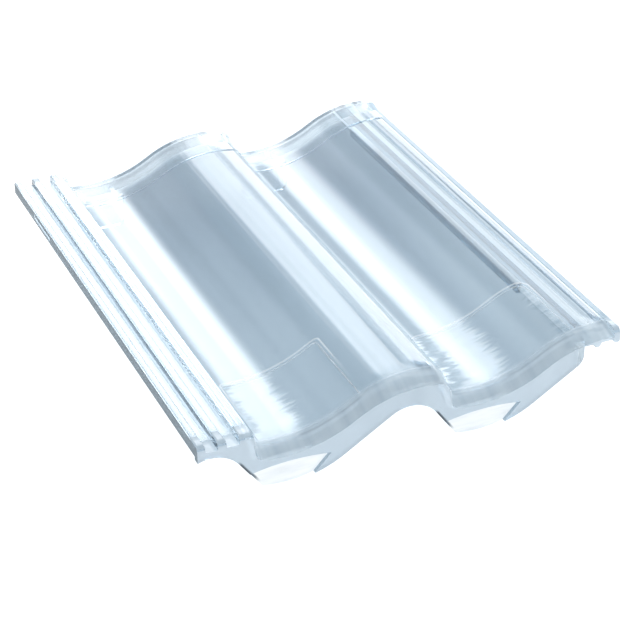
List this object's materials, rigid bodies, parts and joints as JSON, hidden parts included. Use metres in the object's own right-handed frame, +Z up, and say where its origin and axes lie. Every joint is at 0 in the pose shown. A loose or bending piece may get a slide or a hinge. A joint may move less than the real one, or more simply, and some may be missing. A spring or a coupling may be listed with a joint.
{
  "type": "clear roof tile",
  "caption": "Clear moulded interlocking roof tile with a wavy section, ribbed side rail, rimmed side cover, skirted eave and hanging lugs; lets daylight through a tiled roof.",
  "frame": {"origin": "middle of the tile's footprint, on the ground that it lies on", "axes": "+X across the tile from the side rail to the side cover, +Y up the slope from eave to head, +Z up"},
  "size_m": [0.332, 0.42, 0.062],
  "materials": {
    "clear_acrylic": "clear polished moulded acrylic"
  },
  "bodies": {
    "root": {"roof_tile": "clear_acrylic"}
  },
  "joints": []
}
